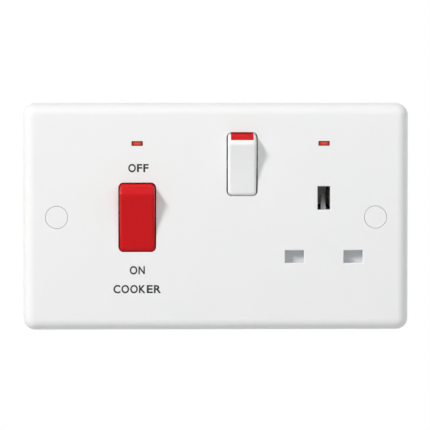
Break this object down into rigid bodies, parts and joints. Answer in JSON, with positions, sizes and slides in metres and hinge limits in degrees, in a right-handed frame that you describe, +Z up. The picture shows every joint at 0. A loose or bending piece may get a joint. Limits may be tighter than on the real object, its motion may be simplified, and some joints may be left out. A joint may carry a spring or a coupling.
{
  "type": "wall socket with cooker switch",
  "caption": "White wall plate with a large red cooker switch, a switched shuttered three-pin socket and red neon indicators; screws to a wall box.",
  "frame": {"origin": "centre of the plate on the wall plane, midway between the two fixing screws", "axes": "+X to the right as seen from the room, +Y into the wall, +Z up"},
  "size_m": [0.146, 0.0337, 0.086],
  "materials": {
    "white_moulding": "polished white thermoset",
    "red_moulding": "polished red plastic",
    "red_lens": "translucent red",
    "dark_moulding": "dark phenolic moulding",
    "grey_moulding": "grey satin plastic",
    "nylon": "natural nylon",
    "brass": "pressed and drawn brass",
    "plated_steel": "zinc plated",
    "spring_steel": "drawn wire",
    "lamp_glass": "clear glass",
    "resistor_coat": "lacquered",
    "tinned_lead": "tinned wire"
  },
  "bodies": {
    "base": {"front_plate": "white_moulding", "left_screw_cap": "white_moulding", "right_screw_cap": "white_moulding", "cooker_neon_lens": "red_lens", "socket_neon_lens": "red_lens", "rear_housing": "dark_moulding", "earth_contact": "brass", "line_contact": "brass", "neutral_contact": "brass", "line_supply_terminal": "brass", "neutral_supply_terminal": "brass", "line_load_terminal": "brass", "neutral_load_terminal": "brass", "socket_supply_strip": "brass", "line_link_strip": "brass", "neutral_link_strip": "brass", "fixing_screws": "plated_steel", "housing_screws": "plated_steel", "terminal_screws": "plated_steel", "shutter_spring": "spring_steel", "cooker_neon_lamp": "lamp_glass", "socket_neon_lamp": "lamp_glass", "cooker_neon_resistor": "resistor_coat", "socket_neon_resistor": "resistor_coat", "cooker_neon_lead": "tinned_lead", "socket_neon_lead": "tinned_lead"},
    "cooker_switch": {"cooker_rocker": "red_moulding", "line_plunger_spring": "spring_steel", "neutral_plunger_spring": "spring_steel"},
    "socket_switch": {"socket_rocker": "white_moulding", "socket_on_marker": "red_moulding", "socket_plunger_spring": "spring_steel"},
    "line_plunger": {"line_plunger": "nylon"},
    "neutral_plunger": {"neutral_plunger": "nylon"},
    "socket_plunger": {"socket_plunger": "nylon"},
    "line_lever": {"line_contact_lever": "brass"},
    "neutral_lever": {"neutral_contact_lever": "brass"},
    "socket_lever": {"socket_contact_lever": "brass"},
    "shutter": {"shutter": "grey_moulding"}
  },
  "joints": [
    {"name": "cooker_switch_tip", "type": "hinge", "parent": "base", "child": "cooker_switch", "pos_m": [-0.02985, -0.003, 0], "axis": [1, 0, 0], "range_deg": [-22, 0]},
    {"name": "socket_switch_tip", "type": "hinge", "parent": "base", "child": "socket_switch", "pos_m": [0.0098, -0.003, 0.02005], "axis": [1, 0, 0], "range_deg": [-22, 0]},
    {"name": "line_plunger_slide", "type": "slide", "parent": "cooker_switch", "child": "line_plunger", "axis": [0, -0.9816, -0.1908], "range_m": [0, 0.0005], "stiffness_N_per_m": 400, "springref_m": -0.002, "deforming": ["line_plunger_spring"]},
    {"name": "neutral_plunger_slide", "type": "slide", "parent": "cooker_switch", "child": "neutral_plunger", "axis": [0, -0.9816, -0.1908], "range_m": [0, 0.0005], "stiffness_N_per_m": 400, "springref_m": -0.002, "deforming": ["neutral_plunger_spring"]},
    {"name": "socket_plunger_slide", "type": "slide", "parent": "socket_switch", "child": "socket_plunger", "axis": [0, -0.9816, -0.1908], "range_m": [0, 0.0005], "stiffness_N_per_m": 400, "springref_m": -0.002, "deforming": ["socket_plunger_spring"]},
    {"name": "line_lever_tip", "type": "hinge", "parent": "base", "child": "line_lever", "pos_m": [-0.03315, 0.00596, 0], "axis": [1, 0, 0], "range_deg": [0, 15]},
    {"name": "neutral_lever_tip", "type": "hinge", "parent": "base", "child": "neutral_lever", "pos_m": [-0.02655, 0.00596, 0], "axis": [1, 0, 0], "range_deg": [0, 15]},
    {"name": "socket_lever_tip", "type": "hinge", "parent": "base", "child": "socket_lever", "pos_m": [0.0098, 0.00596, 0.02005], "axis": [1, 0, 0], "range_deg": [0, 15]},
    {"name": "shutter_slide", "type": "slide", "parent": "base", "child": "shutter", "axis": [0, 0, -1], "range_m": [0, 0.0055], "stiffness_N_per_m": 60, "springref_m": -0.004, "deforming": ["shutter_spring"]}
  ],
  "couplings": [
    {"joint": "line_lever_tip", "follows": "cooker_switch_tip", "ratio": -0.68182},
    {"joint": "neutral_lever_tip", "follows": "cooker_switch_tip", "ratio": -0.68182},
    {"joint": "socket_lever_tip", "follows": "socket_switch_tip", "ratio": -0.68182}
  ]
}
